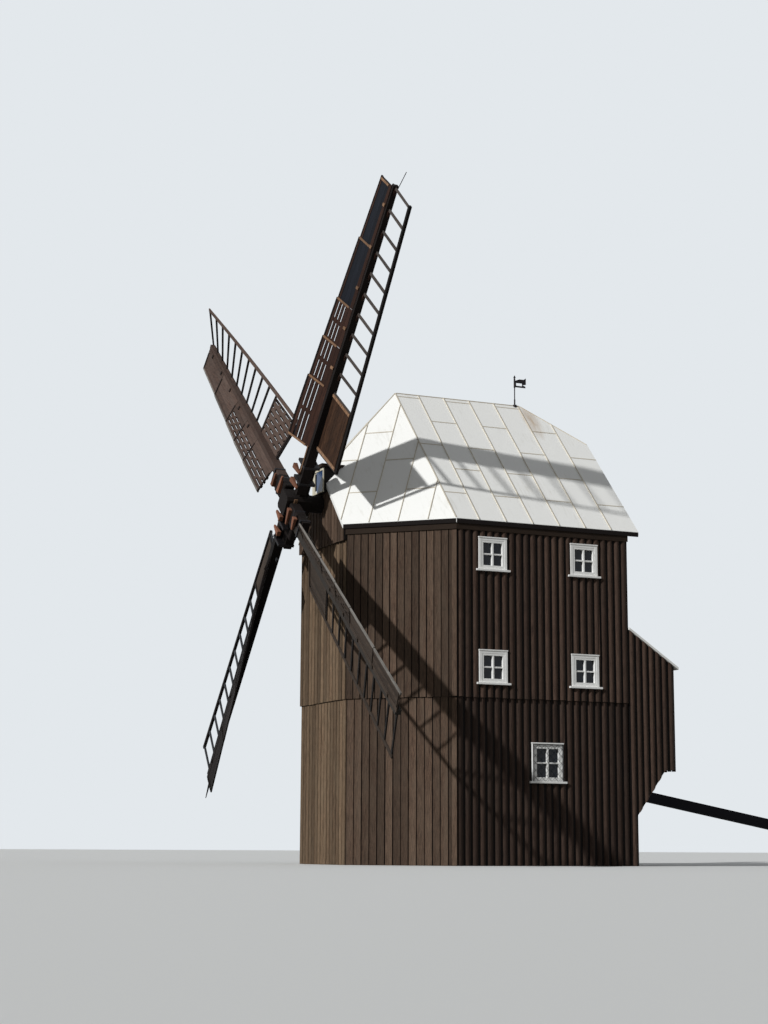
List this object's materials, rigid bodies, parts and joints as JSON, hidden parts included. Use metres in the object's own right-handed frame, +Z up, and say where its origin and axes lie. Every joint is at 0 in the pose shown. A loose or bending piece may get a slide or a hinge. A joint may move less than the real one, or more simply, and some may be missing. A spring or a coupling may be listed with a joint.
{
  "type": "traditional timber windmill",
  "caption": "Boarded timber windmill with a splayed front, white sheet-metal roof, board-and-lattice sails on a turning windshaft, tail bay, tail pole and weather vane",
  "frame": {"origin": "on the ground under the crossing of the ground sills, in the middle of the mill's width", "axes": "+Z up, -Y the front with the sails, +X the right-hand side seen from the sails, +Y towards the tail pole"},
  "size_m": [14.4871, 15.664, 15.8999],
  "materials": {
    "dark_boards": "weathered tarred boards",
    "roof_metal": "matt white painted sheet",
    "white_paint": "white paint",
    "glass": "clear",
    "vane_iron": "black",
    "sail_wood": "weathered boards",
    "shaft_wood": "dark timber",
    "frame_wood": "plain timber",
    "pole_wood": "dark timber"
  },
  "bodies": {
    "mill": {"bay_back": "dark_boards", "bay_roof": "roof_metal", "bay_sides": "dark_boards", "bay_underside": "dark_boards", "cornice": "dark_boards", "dormer": "dark_boards", "dormer_hood": "dark_boards", "floors": "frame_wood", "front_wall_lower": "dark_boards", "front_wall_upper": "dark_boards", "gable_boards": "dark_boards", "ground_sills": "frame_wood", "left_wall_lower": "dark_boards", "left_wall_upper": "dark_boards", "plank_door": "dark_boards", "rear_gable": "dark_boards", "right_wall_lower": "dark_boards", "right_wall_upper": "dark_boards", "roof_front_hip": "roof_metal", "roof_rear_hip": "roof_metal", "roof_shoulder_left": "roof_metal", "roof_shoulder_right": "roof_metal", "roof_side_left": "roof_metal", "roof_side_right": "roof_metal", "shaft_beams": "frame_wood", "shoulder_walls_lower": "dark_boards", "shoulder_walls_upper": "dark_boards", "tail_pole": "pole_wood", "vane_pole": "vane_iron", "window_frames": "white_paint", "window_glass": "glass"},
    "rotor": {"sail_1_boards": "sail_wood", "sail_1_lattice": "sail_wood", "sail_1_whip": "sail_wood", "sail_2_boards": "sail_wood", "sail_2_lattice": "sail_wood", "sail_2_whip": "sail_wood", "sail_3_boards": "sail_wood", "sail_3_lattice": "sail_wood", "sail_3_whip": "sail_wood", "sail_4_boards": "sail_wood", "sail_4_lattice": "sail_wood", "sail_4_whip": "sail_wood", "stocks": "shaft_wood", "windshaft": "shaft_wood"},
    "vane": {"vane_banner": "vane_iron"}
  },
  "joints": [
    {"name": "sails_turn", "type": "hinge", "parent": "mill", "child": "rotor", "pos_m": [0, -4.233, 8.981], "axis": [0, -1, 0], "continuous": true},
    {"name": "vane_turn", "type": "hinge", "parent": "mill", "child": "vane", "pos_m": [0, 2.086, 12.745], "axis": [0, 0, 1], "continuous": true}
  ]
}
